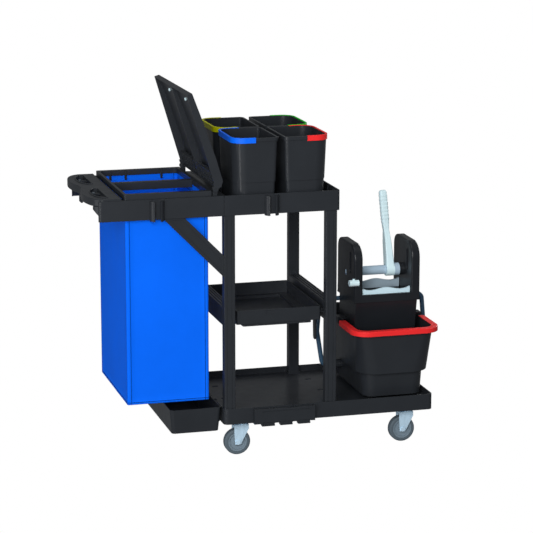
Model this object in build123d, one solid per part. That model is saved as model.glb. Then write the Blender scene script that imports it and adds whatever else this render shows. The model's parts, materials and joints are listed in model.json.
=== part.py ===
"""Housekeeping cart: moulded frame on four swivel casters, waste bag with lid, drawer,
four small buckets, mop bucket with bail and lever wringer.

Millimetres. Origin: middle of the cart's footprint, on the floor. +X runs from the push
handle towards the mop bucket, +Y from front to back, +Z up. The lid is drawn open.
"""

from build123d import *
import os

# ---------------------------------------------------------------- driving sizes
# platform and frame
WALL = 5.0
CENTRE_X = 25.0
BASE_LEFT, BASE_RIGHT = -184.0, 637.0
HALF_DEPTH = 272.5
BASE_BOTTOM, BASE_FLOOR, BASE_TOP = 136.0, 172.0, 196.0
POST_WIDTH, POST_DEPTH, POST_WALL = 42.0, 34.0, 3.5
POST_X = {"left": -160.0, "right": 231.0}
POST_OUTER_Y = 267.0
BEAM_BOTTOM, BEAM_TOP = 930.0, 1005.0
COLLAR_HEIGHT = 6.0
TRAY_FLOOR_BOTTOM, TRAY_FLOOR_TOP = 938.0, 943.0
FRAME_LEFT, FRAME_SEAM, FRAME_RIGHT = -646.0, -181.0, 261.0
END_X, END_HALF, END_BOTTOM = -600.0, 262.0, 983.0
RAIL_BOTTOM, RAIL_TOP = 512.0, 579.0

# bag opening, rim and lid
OPENING_LEFT, OPENING_RIGHT, OPENING_HALF = -557.0, -230.0, 252.0
RIM_LEFT, RIM_RIGHT, RIM_HALF = -551.0, -224.0, 265.0
RIM_INNER_LEFT, RIM_INNER_RIGHT, RIM_INNER_HALF = -541.0, -239.0, 244.0
RIM_TOP = 1025.0
DIVIDER_HALF, DIVIDER_BOTTOM = 12.0, 994.0
BAG_LEFT, BAG_RIGHT, BAG_HALF = -544.0, -236.0, 247.0
BAG_BOTTOM, BAG_TOP, BAG_WALL = 233.0, 1004.5, 2.0
LID_PIVOT_X, LID_PIVOT_Z = -212.0, 1030.0
LID_OPEN_ANGLE = 73.3
LID_LENGTH, LID_WALL = 364.0, 3.5
LID_END_HEIGHT, LID_HEIGHT = 19.0, 34.0
LID_PIN_RADIUS, LUG_THICK, LID_RIB_THICK = 4.0, 6.5, 4.0

# push handle
HANDLE_BOTTOM, HANDLE_TOP = 985.0, 1013.0
HANDLE_INNER = -562.0
LOBE = [(-630, 269.5), (-652, 252), (-666, 228), (-676, 190), (-681, 135), (-676, 80),
        (-668, 40), (-661, 0)]
GRIP_RIGHT, GRIP_Y, GRIP_HALF = -608.0, 144.0, 90.0
GRIP_CURVE = [(-622, -90), (-642, -54), (-648, 0), (-642, 54), (-622, 90)]
SCREW_X, SCREW_Y = -632.0, (-100.0, 170.0)
HANDLE_ROUNDING = 4.0

# drawer
DRAWER_LEFT, DRAWER_RIGHT = -128.0, 198.0
DRAWER_FRONT, DRAWER_BACK = -242.5, 214.5
DRAWER_BOTTOM, DRAWER_STEP, DRAWER_TOP = 500.0, 510.0, 562.0
DRAWER_INSET, DRAWER_RIGHT_INSET, DRAWER_WALL = 26.0, 35.0, 3.0
LEDGE_TOP, FLANGE_THICK = 540.0, 4.5

# small buckets
SMALL_X = {"left": -58.0, "right": 138.0}
SMALL_Y = {"front": -133.0, "back": 133.0}
SMALL_RIM, SMALL_BOTTOM, SMALL_STEP = 1210.0, 943.4, 1045.0
SMALL_WIDTH, SMALL_DEPTH, SMALL_WALL = 170.0, 252.0, 2.5
SMALL_TAPER, LIP_HEIGHT, LIP_THICK = 9.0, 18.0, 3.0

# mop bucket, bail and wringer
MOP_X, MOP_Y = 502.0, 0.0
MOP_BOTTOM, MOP_STEP, MOP_RIM = 184.0, 277.0, 450.0
MOP_WIDTH, MOP_DEPTH, MOP_WALL, MOP_RADIUS = 308.0, 484.0, 4.0, 46.0
MOP_SHOULDER = (284.0, 468.0, 78.0)
MOP_LOWER = (244.0, 424.0, 46.0)
MOP_FOOT = (232.0, 416.0, 42.0)
BAND_REACH, BAND_HEIGHT, BAND_END_Y = 20.0, 17.0, -55.0
BAIL_Y, BAIL_PIVOT_Z, BAIL_TOP_Z = 87.0, 243.0, 507.0
BAIL_HALF, BAIL_BOW, BAIL_FOOT_HALF, BAIL_END_HALF = 209.0, 220.0, 198.0, 160.0
BAIL_BOW_Z, TUBE_RADIUS = 380.0, 9.0
WRINGER_X, WRINGER_FRONT, WRINGER_BACK = 491.5, -145.0, 74.0
WRINGER_HALF, PLATE_THICK = 131.5, 34.0
BOX_INSET, BOX_SLOPE = 9.0, 26.0
WRINGER_BOTTOM, WRINGER_LIP, WRINGER_TOP = 290.0, 568.0, 761.0
SHAFT_Y, SHAFT_Z, SHAFT_RADIUS, JOURNAL_RADIUS = -35.0, 639.0, 17.5, 11.0
HUB_RADIUS, HUB_WIDTH, LEVER_HALF, SIDE_GAP = 24.0, 20.0, 16.0, 0.6
LEVER_X, LEVER_LEAN, LEVER_LENGTH = 536.0, 18.0, 309.0
FRONT_PRESS_Y, BACK_PRESS_Y, PRESS_THICK = -133.0, -3.0, 10.0
PRESS_BOTTOM, PRESS_TOP = 319.0, 597.0
FRONT_PRESS_BOTTOM, BACK_PRESS_BOTTOM = 540.0, 561.0
LATCH_X, LATCH_Z = 343.0, 621.0

# casters
CASTER_X = {"left": -97.0, "right": 556.0}
CASTER_Y = {"front": -202.5, "back": 202.5}
WHEEL_RADIUS, WHEEL_WIDTH, TRAIL = 50.0, 32.0, 22.0
AXLE_RADIUS, KINGPIN_RADIUS = 6.0, 8.0
FIT = 0.05

os.makedirs("parts", exist_ok=True)


# ---------------------------------------------------------------- helpers
def save(shape, name):
    """Write one named sub-part, moved so that the whole cart is centred on the origin."""
    moved = [Pos(-CENTRE_X, 0, 0) * solid for solid in shape.solids()]
    whole = moved[0] if len(moved) == 1 else Compound(children=moved)
    export_step(whole, f"parts/{name}.step")


def block(x0, x1, y0, y1, z0, z1):
    """Box between two corners."""
    size = Box(x1 - x0, y1 - y0, z1 - z0)
    return Pos((x0 + x1) / 2, (y0 + y1) / 2, (z0 + z1) / 2) * size


def rounded_block(x0, x1, y0, y1, z0, z1, radius):
    """Box with rounded upright corners."""
    outline = RectangleRounded(x1 - x0, y1 - y0, radius)
    return Pos((x0 + x1) / 2, (y0 + y1) / 2, z0) * extrude(outline, z1 - z0)


def rod(radius, start, end):
    """Round bar between two points on a line parallel to an axis."""
    path = Line(start, end)
    return sweep(Plane(origin=start, z_dir=path % 0) * Circle(radius), path)


def both_sides(shape):
    """The shape and its mirror image across the cart's centre plane."""
    return [shape, mirror(shape, about=Plane.XZ)]


def drafted(width0, depth0, z0, width1, depth1, z1, radius):
    """Rounded rectangle that changes size evenly from z0 to z1."""
    lower = Pos(0, 0, z0) * RectangleRounded(width0, depth0, radius)
    upper = Pos(0, 0, z1) * RectangleRounded(width1, depth1, radius)
    return loft([lower, upper])


# ---------------------------------------------------------------- platform and frame
def base_platform():
    """Tray-like platform, ribbed below, with pads for the casters and sockets for the posts."""
    rim, front = 18.0, -HALF_DEPTH
    body = rounded_block(BASE_LEFT, BASE_RIGHT, front, -front, BASE_BOTTOM, BASE_TOP, rim)
    inner = (BASE_LEFT + WALL, BASE_RIGHT - WALL, front + WALL, -front - WALL)
    body -= rounded_block(*inner, BASE_FLOOR, BASE_TOP, rim - WALL)
    body -= rounded_block(*inner, BASE_BOTTOM, BASE_FLOOR - WALL, rim - WALL)
    under = (BASE_BOTTOM + 3, BASE_FLOOR - WALL)
    for y in (-150.0, 0.0, 150.0):
        body += block(inner[0], inner[1], y - 2, y + 2, *under)
    for x in (-40.0, 120.0, 280.0, 440.0):
        body += block(x - 2, x + 2, inner[2], inner[3], *under)
    for x in CASTER_X.values():
        for y in CASTER_Y.values():
            body += block(x - 50, x + 50, y - 50, y + 50, BASE_BOTTOM, BASE_BOTTOM + 8)
            for offset in (-30.0, 30.0):
                body += block(x + offset - 2, x + offset + 2, y - 50, y + 50, *under)
    for x in POST_X.values():
        for collar in both_sides(post_collar(x)):
            body += collar
        for side in (-1, 1):
            body -= post_block(x, side, BASE_FLOOR, BASE_TOP)
    for x, y in ((263.0, 142.0), (266.0, -18.0), (-125.0, -40.0), (-119.0, 136.0)):
        body -= Pos(x, y, BASE_FLOOR - WALL) * extrude(SlotOverall(26, 14), WALL)
    return body


def post_block(x, side, z0, z1):
    """Space that a post fills between two heights."""
    edges = sorted((side * POST_OUTER_Y, side * (POST_OUTER_Y - POST_DEPTH)))
    return block(x - POST_WIDTH / 2, x + POST_WIDTH / 2, edges[0], edges[1], z0, z1)


def post_collar(x):
    """Upstand around the front post's foot, filled; the post's own space is cut out later."""
    reach, inner_y = POST_WIDTH / 2 + 3, -POST_OUTER_Y + POST_DEPTH + 3
    left = max(x - reach, BASE_LEFT + WALL)
    return block(left, x + reach, -POST_OUTER_Y - 1, inner_y, BASE_FLOOR, BASE_FLOOR + COLLAR_HEIGHT)


def post(x, side):
    """Box-section post with two shallow grooves down its outer face."""
    y_outer = side * POST_OUTER_Y
    y_inner = side * (POST_OUTER_Y - POST_DEPTH)
    low, high = min(y_outer, y_inner), max(y_outer, y_inner)
    half, height = POST_WIDTH / 2, TRAY_FLOOR_BOTTOM - BASE_FLOOR
    body = rounded_block(x - half, x + half, low, high, BASE_FLOOR, TRAY_FLOOR_BOTTOM, 2.5)
    body -= block(x - half + POST_WALL, x + half - POST_WALL, low + POST_WALL,
                  high - POST_WALL, BASE_FLOOR, TRAY_FLOOR_BOTTOM)
    for offset in (-9.0, 9.0):
        groove = Box(2.4, 2.4, height - 2 * (BASE_TOP - BASE_FLOOR))
        body -= Pos(x + offset, y_outer, (BASE_FLOOR + TRAY_FLOOR_BOTTOM) / 2) * groove
    return body


def drawer_rail(x, inward):
    """Side rail between two posts: ridged top, open below, with a slide for the drawer."""
    half, y_end = POST_WIDTH / 2, POST_OUTER_Y - POST_DEPTH
    body = block(x - half, x + half, -y_end, y_end, RAIL_BOTTOM, RAIL_TOP - 3)
    body -= block(x - half + 4, x + half - 4, -y_end + 4, y_end - 4, RAIL_BOTTOM, RAIL_TOP - 7)
    for offset in (-16.0, -4.0, 8.0, 18.5):
        body += block(x + offset - 2.5, x + offset + 2.5, -y_end, y_end, RAIL_TOP - 3, RAIL_TOP)
    face, reach = x + inward * half, inward * 9.5
    low, high = min(face, face + reach), max(face, face + reach)
    body += block(low, high, -y_end, y_end, LEDGE_TOP - 4, LEDGE_TOP)
    guide = LEDGE_TOP + FLANGE_THICK + 1.0
    body += block(low, high, -y_end, y_end, guide, guide + 3)
    return body


def bag_frame():
    """Left half of the top frame: a hollow ring beam around the bag opening."""
    front = -HALF_DEPTH
    body = block(FRAME_LEFT, FRAME_SEAM, front, -front, BEAM_BOTTOM, BEAM_TOP)
    corners = body.edges().filter_by(Axis.Z).group_by(Axis.X)[0]
    body = fillet(corners, 10)
    body -= block(OPENING_LEFT, OPENING_RIGHT, -OPENING_HALF, OPENING_HALF, BEAM_BOTTOM, BEAM_TOP)
    hollow = block(FRAME_LEFT + WALL, FRAME_SEAM - WALL, front + WALL, -front - WALL,
                   BEAM_BOTTOM, BEAM_TOP - WALL)
    hollow -= block(OPENING_LEFT - WALL, OPENING_RIGHT + WALL, -OPENING_HALF - WALL,
                    OPENING_HALF + WALL, BEAM_BOTTOM, BEAM_TOP)
    body -= hollow
    body -= block(FRAME_LEFT - 1, END_X, -END_HALF, END_HALF, BEAM_BOTTOM, BEAM_TOP)
    body -= block(END_X, OPENING_LEFT, -END_HALF, END_HALF, BEAM_BOTTOM, END_BOTTOM)
    body -= seam_groove()
    for ear in both_sides(lid_ear()):
        body += ear
    for flare in both_sides(handle_flare()):
        body += flare
    return body


def seam_groove():
    """Cutter for the shadow line where the bag frame and the bucket tray meet."""
    half, deep = 1.2, 1.5
    outer = block(FRAME_SEAM - half, FRAME_SEAM + half, -HALF_DEPTH - 1, HALF_DEPTH + 1,
                  BEAM_BOTTOM - 1, BEAM_TOP + 1)
    core = block(FRAME_SEAM - half, FRAME_SEAM + half, deep - HALF_DEPTH, HALF_DEPTH - deep,
                 BEAM_BOTTOM - 1, BEAM_TOP - deep)
    return outer - core


def handle_flare():
    """Gusset under the push handle's front corner, running down to the side beam's end."""
    y_in, foot = -238.0, 940.0
    wedge = Polyline((FRAME_LEFT + 12, foot), (FRAME_LEFT - 4, foot + 18), (FRAME_LEFT - 24, HANDLE_BOTTOM),
                     (FRAME_LEFT + 12, HANDLE_BOTTOM), (FRAME_LEFT + 12, foot))
    slab = extrude(side_plane(y_in) * make_face(wedge), HALF_DEPTH + y_in)
    return slab & Pos(0, 0, foot) * extrude(handle_outline(), HANDLE_BOTTOM - foot)


def lid_ear():
    """Upright ear that carries one lid hinge pin."""
    y0, y1 = -258.0, -246.0
    profile = Circle(9) + Pos(0, -12.5) * Rectangle(18, 25)
    plate = Plane(origin=(LID_PIVOT_X, y1, LID_PIVOT_Z), z_dir=(0, -1, 0), x_dir=(1, 0, 0)) * profile
    bore = rod(LID_PIN_RADIUS, (LID_PIVOT_X, y0 - 1, LID_PIVOT_Z), (LID_PIVOT_X, y1 + 1, LID_PIVOT_Z))
    return extrude(plate, y1 - y0) - bore


def bucket_tray():
    """Right half of the top frame: an open tray for the small buckets, ribbed at its end."""
    front = -HALF_DEPTH
    body = block(FRAME_SEAM, FRAME_RIGHT, front, -front, BEAM_BOTTOM, BEAM_TOP)
    corners = body.edges().filter_by(Axis.Z).group_by(Axis.X)[-1]
    body = fillet(corners, 10)
    inner = (FRAME_SEAM + WALL, FRAME_RIGHT - WALL, front + WALL, -front - WALL)
    body -= block(*inner, TRAY_FLOOR_TOP, BEAM_TOP)
    body -= block(FRAME_SEAM, inner[1], inner[2], inner[3], BEAM_BOTTOM, TRAY_FLOOR_BOTTOM)
    for y in (-210.0, -140.0, -70.0, 0.0, 70.0, 140.0, 210.0):
        body += block(inner[1] - 6, inner[1], y - 2, y + 2, TRAY_FLOOR_TOP, BEAM_TOP - 6)
    return body - seam_groove()


def handle_outline():
    """Plan of the push handle: two shallow lobes that meet in a slight notch."""
    curve = Spline([(x, -y) for x, y in LOBE] + [(x, y) for x, y in reversed(LOBE[:-1])])
    half = HALF_DEPTH - 3
    rest = Polyline(curve @ 1, (HANDLE_INNER, half), (HANDLE_INNER, -half), curve @ 0)
    return make_face(curve + rest)


def grip_slot(grow):
    """Plan of one grip slot about its own middle: straight towards the bag, curved outwards."""
    curve = Spline([(x - grow, y * (GRIP_HALF + grow) / GRIP_HALF) for x, y in GRIP_CURVE])
    right, half = GRIP_RIGHT + grow, GRIP_HALF + grow
    rest = Polyline(curve @ 1, (right, half), (right, -half), curve @ 0)
    return make_face(curve + rest)


def push_handle():
    """Push handle: a thick grip loop beyond the frame's end and a thin plate lying on it."""
    grip = Pos(0, 0, HANDLE_BOTTOM) * extrude(handle_outline(), HANDLE_TOP - HANDLE_BOTTOM)
    lower, upper = grip.faces().sort_by(Axis.Z)[0], grip.faces().sort_by(Axis.Z)[-1]
    rims = [e for face in (lower, upper) for e in face.edges() if e.center().X < FRAME_LEFT]
    grip = fillet(rims, HANDLE_ROUNDING)
    gap = 0.2
    grip -= block(END_X - gap, -500, -HALF_DEPTH, HALF_DEPTH, HANDLE_BOTTOM - 1, BEAM_TOP)
    for y0, y1 in ((-HALF_DEPTH, -END_HALF + gap), (END_HALF - gap, HALF_DEPTH)):
        grip -= block(FRAME_LEFT - 20, -500, y0, y1, HANDLE_BOTTOM - 1, BEAM_TOP)
    slot_depth = HANDLE_TOP - HANDLE_BOTTOM + 10
    lip_width, lip_height = 4.0, 2.5
    for slot_y, screw_y in zip((-GRIP_Y, GRIP_Y), SCREW_Y):
        grip += Pos(0, slot_y, HANDLE_TOP) * extrude(grip_slot(lip_width), lip_height)
        grip -= Pos(0, slot_y, HANDLE_BOTTOM - 1) * extrude(grip_slot(0), slot_depth)
        grip += block(-652, GRIP_RIGHT + 1, screw_y - 9, screw_y + 9, BEAM_TOP - 6, BEAM_TOP + 1)
    hook = block(-668, -661, -46, -6, 962, HANDLE_BOTTOM + 4)
    hook -= rod(9, (-670, -28, 974), (-655, -28, 974))
    return grip + hook


def brace(side):
    """Diagonal strut from the bag frame's side beam down to the left post."""
    post_left = POST_X["left"] - POST_WIDTH / 2
    outline = Polyline((post_left, 699), (post_left, 780), (-329, BEAM_BOTTOM), (-408, BEAM_BOTTOM),
                       (post_left, 699))
    y_outer, thick = side * 267.0, 12.0
    plane = Plane(origin=(0, y_outer, 0), x_dir=(1, 0, 0), z_dir=(0, -1, 0))
    amount = thick if side > 0 else -thick
    body = extrude(plane * make_face(outline), amount)
    inset = Polyline((post_left - 8, 722), (post_left - 8, 764), (-336, BEAM_BOTTOM - 8),
                     (-383, BEAM_BOTTOM - 8), (post_left - 8, 722))
    recess = extrude(plane * make_face(inset), 2.0 if side > 0 else -2.0)
    return body - recess


def bag_rim():
    """Raised ring around the bag's mouth with a bar across its middle."""
    body = rounded_block(RIM_LEFT, RIM_RIGHT, -RIM_HALF, RIM_HALF, BEAM_TOP, RIM_TOP, 6)
    body -= rounded_block(RIM_INNER_LEFT, RIM_INNER_RIGHT, -RIM_INNER_HALF, RIM_INNER_HALF,
                          BEAM_TOP, RIM_TOP, 14)
    body += block(RIM_INNER_LEFT - 2, RIM_INNER_RIGHT + 2, -DIVIDER_HALF, DIVIDER_HALF,
                  RIM_TOP - 7, RIM_TOP - 2)
    for y in (-DIVIDER_HALF, DIVIDER_HALF - 3):
        body += block(RIM_INNER_LEFT - 0.5, RIM_INNER_RIGHT + 0.5, y, y + 3, DIVIDER_BOTTOM, RIM_TOP - 4)
    return body


def waste_bag():
    """Square-cornered hanging bag, open at its top."""
    body = rounded_block(BAG_LEFT, BAG_RIGHT, -BAG_HALF, BAG_HALF, BAG_BOTTOM, BAG_TOP, 8)
    body -= rounded_block(BAG_LEFT + BAG_WALL, BAG_RIGHT - BAG_WALL, -BAG_HALF + BAG_WALL,
                          BAG_HALF - BAG_WALL, BAG_BOTTOM + BAG_WALL, BAG_TOP, 6)
    return body


def bag_clips():
    """Small hooks on the rim that keep the bag's edge in place."""
    clips = []
    for x in (-500.0, -440.0, -300.0):
        hook = block(x - 4, x + 4, -RIM_INNER_HALF, -RIM_INNER_HALF + 5, 990, RIM_TOP - 3)
        hook += block(x - 4, x + 4, -RIM_INNER_HALF, -RIM_INNER_HALF + 9, 990, 994)
        clips += both_sides(hook)
    return Compound(children=clips)


def low_bin():
    """Shallow bin below the bag, hooked over the platform's left edge."""
    x0, x1, half, z0, z1 = -385.0, BASE_LEFT - 6, 250.0, 108.0, 200.0
    centre = Pos((x0 + x1) / 2, 0, 0)
    width, depth = x1 - x0, 2 * half
    body = centre * drafted(width - 16, depth - 16, z0, width, depth, z1, 14)
    body -= centre * drafted(width - 22, depth - 22, z0 + 3, width - 6, depth - 6, z1, 11)
    for y in (-115.0, 115.0):
        hook = block(x1 - 4, BASE_LEFT + WALL + 3.1, y - 15, y + 15, BASE_TOP, z1)
        hook += block(BASE_LEFT + WALL + 0.1, BASE_LEFT + WALL + 3.1, y - 15, y + 15, 184, z1)
        body += hook
    return body


def tool_holder():
    """Three-pocket holder on the platform's front: open above, tabs and a groove below."""
    x0, x1, z0, z1 = -73.0, 162.0, 126.0, 192.0
    face, front = -HALF_DEPTH, -296.0
    body = block(x0, x1, front, face, z0, z1)
    count, side = 3, 7.0
    pitch = (x1 - x0 - side) / count
    for index in range(count):
        left = x0 + side + index * pitch
        body -= block(left, left + pitch - side, front + 6, face - 3, z0 + 20, z1)
    for left, right in ((x0 - 1, -44), (5, 27), (74, 96), (143, x1 + 1)):
        notch = block(left, right, front - 1, face + 1, z0 - 1, z0 + 10)
        body -= fillet(notch.edges().filter_by(Axis.Y).group_by(Axis.Z)[-1], 4)
    body -= block(-40, 147, front - 1, front + 4, z0 + 6, z0 + 15)
    body -= block(-40, 147, front - 1, front + 1.5, z1 - 12, z1 - 8)
    return body


def beam_clip(x):
    """Spring clip for a mop handle, on the front beam."""
    z0, z1, radius, wall, mouth_slope = 926.0, 1000.0, 27.0, 7.0, 1.9
    ring = Circle(radius) - Circle(radius - wall)
    ring &= Pos(0, -radius) * Rectangle(2 * radius, 2 * radius)
    reach = radius * mouth_slope
    mouth = Polyline((0, 0), (-radius, -reach), (radius, -reach), (0, 0))
    ring -= make_face(mouth)
    clip = Pos(x, -HALF_DEPTH, z0) * extrude(ring, z1 - z0)
    return clip + block(x - radius, x + radius, -HALF_DEPTH - 3, -HALF_DEPTH, BEAM_BOTTOM, z1)


def beam_clips():
    """Handle clips on both side beams."""
    return Compound(children=[c for x in (-433.0, -2.0) for c in both_sides(beam_clip(x))])


def rail_hanger():
    """Flat tapered hanger on the right rail's outer face, beside the bail."""
    face, thick, bottom, top = POST_X["right"] + POST_WIDTH / 2, 5.0, 365.0, RAIL_TOP - 7
    outline = Polyline((10, bottom), (40, bottom), (52, top), (8, top), (10, bottom))
    plane = Plane(origin=(face, 0, 0), x_dir=(0, 1, 0), z_dir=(1, 0, 0))
    plate = extrude(plane * make_face(outline), thick)
    return fillet(plate.edges().filter_by(Axis.X).group_by(Axis.Z)[0], 12)


def lid_hinge_pins():
    """The lid's two hinge pins, fixed in the frame's ears."""
    start, end = (LID_PIVOT_X, -HALF_DEPTH + 1, LID_PIVOT_Z), (LID_PIVOT_X, -246, LID_PIVOT_Z)
    return Compound(children=both_sides(rod(LID_PIN_RADIUS - FIT, start, end)))


def frame_screws():
    """Pan-head screws of the push handle."""
    return Compound(children=[Pos(SCREW_X, y, BEAM_TOP + 1) * extrude(Circle(6), 4) for y in SCREW_Y])


# ---------------------------------------------------------------- lid
def lid_profile(inset, floor):
    """Side view of the closed lid: length runs to -X from the pivot, height up."""
    start, end = 2.0 + inset, LID_LENGTH - inset
    top = [(-start, 22 - inset), (-22, LID_HEIGHT - inset), (-110, LID_HEIGHT - inset),
           (-240, 28 - inset), (-end, LID_END_HEIGHT - inset)]
    outline = Polyline((-start, floor), *top, (-end, floor), (-start, floor))
    return make_face(outline)


def to_lid(shape):
    """Turn a shape drawn around the pivot, lid closed, into the open position."""
    return Pos(LID_PIVOT_X, 0, LID_PIVOT_Z) * Rot(0, LID_OPEN_ANGLE, 0) * shape


def side_plane(y):
    """Drawing plane seen from the front at depth y, around the lid's pivot."""
    return Plane(origin=(0, y, 0), x_dir=(1, 0, 0), z_dir=(0, -1, 0))


def lid():
    """Shallow domed lid with inner ribs and two hinge lugs."""
    half = HALF_DEPTH
    body = extrude(side_plane(half) * lid_profile(0, 0), 2 * half)
    body -= extrude(side_plane(half - LID_WALL) * lid_profile(LID_WALL, -1), 2 * (half - LID_WALL))
    rib = LID_RIB_THICK
    body += extrude(side_plane(rib / 2) * lid_profile(LID_WALL - 0.5, 3), rib)
    for y in range(-220, 221, 40):
        body += block(-58, -4, y - 1.5, y + 1.5, 6, 20)
    for x in (-56.0, -30.0):
        body += block(x, x + 3, -half + LID_WALL - 0.5, half - LID_WALL + 0.5, 8, 22)
    lug = Circle(10) + Pos(-12, 6) * Rectangle(24, 20)
    for y in (half, -half + LUG_THICK):
        body += extrude(side_plane(y) * lug, LUG_THICK)
    for ear_y in (-252.0, 252.0):
        body -= block(-13, 7, ear_y - 8, ear_y + 8, -12, 12)
    body -= rod(LID_PIN_RADIUS, (0, -half - 1, 0), (0, half + 1, 0))
    return to_lid(body)


def lid_inside_height(length):
    """Height of the lid's inner face above its edge, a given length from the pivot."""
    slope_start, slope_end = 240.0, LID_LENGTH - LID_WALL
    if length < 110:
        return LID_HEIGHT - LID_WALL
    if length < slope_start:
        return LID_HEIGHT - LID_WALL - 6 * (length - 110) / (slope_start - 110)
    fall = 28 - LID_END_HEIGHT
    return 28 - LID_WALL - fall * (length - slope_start) / (slope_end - slope_start)


def lid_rivets():
    """White rivet heads on the lid's inner face."""
    rivets = []
    for length, y in ((324, 130), (324, -130), (92, 13), (92, 65)):
        face = lid_inside_height(length + 6)
        rivets.append(to_lid(Pos(-length, y, face - 5) * extrude(Circle(6), 5)))
    return Compound(children=rivets)


# ---------------------------------------------------------------- drawer
def drawer_shape(grow):
    """Stepped drawer body; grow is negative for its inside."""
    x0, x1 = DRAWER_LEFT - grow, DRAWER_RIGHT + grow
    y0, y1 = DRAWER_FRONT - grow, DRAWER_BACK + grow
    upper = rounded_block(x0, x1, y0, y1, DRAWER_STEP - grow, DRAWER_TOP, 8 + grow)
    lower = rounded_block(x0 + DRAWER_INSET, x1 - DRAWER_RIGHT_INSET, y0 + 6, y1 - DRAWER_INSET,
                          DRAWER_BOTTOM - grow, DRAWER_TOP, 8 + grow)
    return upper + lower


def drawer():
    """Pull-out drawer with side flanges and a finger recess in its front."""
    body = drawer_shape(0) - drawer_shape(-DRAWER_WALL)
    for x0, x1 in ((DRAWER_LEFT - 8.5, DRAWER_LEFT + 1), (DRAWER_RIGHT - 1, DRAWER_RIGHT + 8.5)):
        flange_bottom = LEDGE_TOP + 0.4
        body += block(x0, x1, DRAWER_FRONT + 12, DRAWER_BACK - 12, flange_bottom,
                      flange_bottom + FLANGE_THICK - 0.3)
    body -= block(-15, 15, DRAWER_FRONT - 1, DRAWER_FRONT + 1.5, 543, 558)
    return body


# ---------------------------------------------------------------- small buckets
def bucket_outline(width, depth, outer_radius, inner_radius, outward):
    """Rounded plan of a small bucket; its outward end has the larger corners."""
    half = Rectangle(width / 2, depth)
    outer = RectangleRounded(width, depth, outer_radius) & Pos(outward * width / 4, 0) * half
    inner = RectangleRounded(width, depth, inner_radius) & Pos(-outward * width / 4, 0) * half
    return outer + inner


def bucket_loft(shrink, z0, z1, outward):
    """Tapered bucket volume between two heights, all sides moved in by shrink."""
    faces = []
    for z in (z0, z1):
        taper = 2 * SMALL_TAPER * (SMALL_RIM - z) / (SMALL_RIM - SMALL_BOTTOM)
        width, depth = SMALL_WIDTH - taper - 2 * shrink, SMALL_DEPTH - taper - 2 * shrink
        faces.append(Pos(0, 0, z) * bucket_outline(width, depth, 48 - shrink, 14 - shrink, outward))
    return loft(faces)


def small_bucket(x_side, y_side):
    """Small bucket: tapered, with a step near its foot."""
    outward = -1 if x_side == "left" else 1
    body = bucket_loft(2.0, SMALL_BOTTOM, SMALL_STEP, outward)
    body += bucket_loft(0.0, SMALL_STEP, SMALL_RIM, outward)
    body -= bucket_loft(2.0 + SMALL_WALL, SMALL_BOTTOM + 3, SMALL_STEP, outward)
    body += bucket_rim(outward)
    body -= bucket_loft(2.0 + SMALL_WALL, SMALL_STEP, SMALL_RIM, outward)
    return Pos(SMALL_X[x_side], SMALL_Y[y_side], 0) * body


def bucket_rim(outward):
    """Filled collar round the inward half of a small bucket's rim; the bucket's inside is cut later."""
    collar = bucket_outline(SMALL_WIDTH + 2 * LIP_THICK, SMALL_DEPTH + 2 * LIP_THICK,
                            48 + LIP_THICK, 14 + LIP_THICK, outward)
    height, gap = 13.0, 0.3
    x0, x1 = (gap, SMALL_WIDTH) if outward < 0 else (-SMALL_WIDTH, -gap)
    half = block(x0, x1, -SMALL_DEPTH, SMALL_DEPTH, SMALL_RIM - height, SMALL_RIM)
    return Pos(0, 0, SMALL_RIM - height) * extrude(collar, height) & half


def small_bucket_lip(x_side, y_side):
    """Coloured clip-on band over the outward half of a small bucket's rim."""
    outward = -1 if x_side == "left" else 1
    z0, z1 = SMALL_RIM - LIP_HEIGHT, SMALL_RIM + 2
    outline = bucket_outline(SMALL_WIDTH + 2 * LIP_THICK, SMALL_DEPTH + 2 * LIP_THICK,
                             48 + LIP_THICK, 14 + LIP_THICK, outward)
    inner = bucket_outline(SMALL_WIDTH - 9, SMALL_DEPTH - 9, 43.5, 9.5, outward)
    rim = bucket_outline(SMALL_WIDTH + 0.1, SMALL_DEPTH + 0.1, 48, 14, outward)
    band = Pos(0, 0, z0) * extrude(outline, z1 - z0)
    band -= Pos(0, 0, z0) * extrude(rim, LIP_HEIGHT)
    band -= Pos(0, 0, z0) * extrude(inner, z1 - z0)
    x0, x1 = (-SMALL_WIDTH, 0) if outward < 0 else (0, SMALL_WIDTH)
    band &= block(x0, x1, -SMALL_DEPTH, SMALL_DEPTH, z0, z1)
    return Pos(SMALL_X[x_side], SMALL_Y[y_side], 0) * band


# ---------------------------------------------------------------- mop bucket
def mop_section(size, shrink, z):
    """One plan section of the mop bucket, moved in by shrink."""
    width, depth, radius = size
    return Pos(0, 0, z) * RectangleRounded(width - 2 * shrink, depth - 2 * shrink, radius - shrink)


def mop_volume(shrink):
    """Mop bucket volume: wide upper part, stepped lower part."""
    rim_size = (MOP_WIDTH, MOP_DEPTH, MOP_RADIUS)
    shoulder = MOP_STEP + shrink
    upper = loft([mop_section(MOP_SHOULDER, shrink, shoulder), mop_section(rim_size, shrink, MOP_RIM)])
    lower = loft([mop_section(MOP_FOOT, shrink, MOP_BOTTOM + shrink),
                  mop_section(MOP_LOWER, shrink, shoulder)])
    return upper + lower


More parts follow.
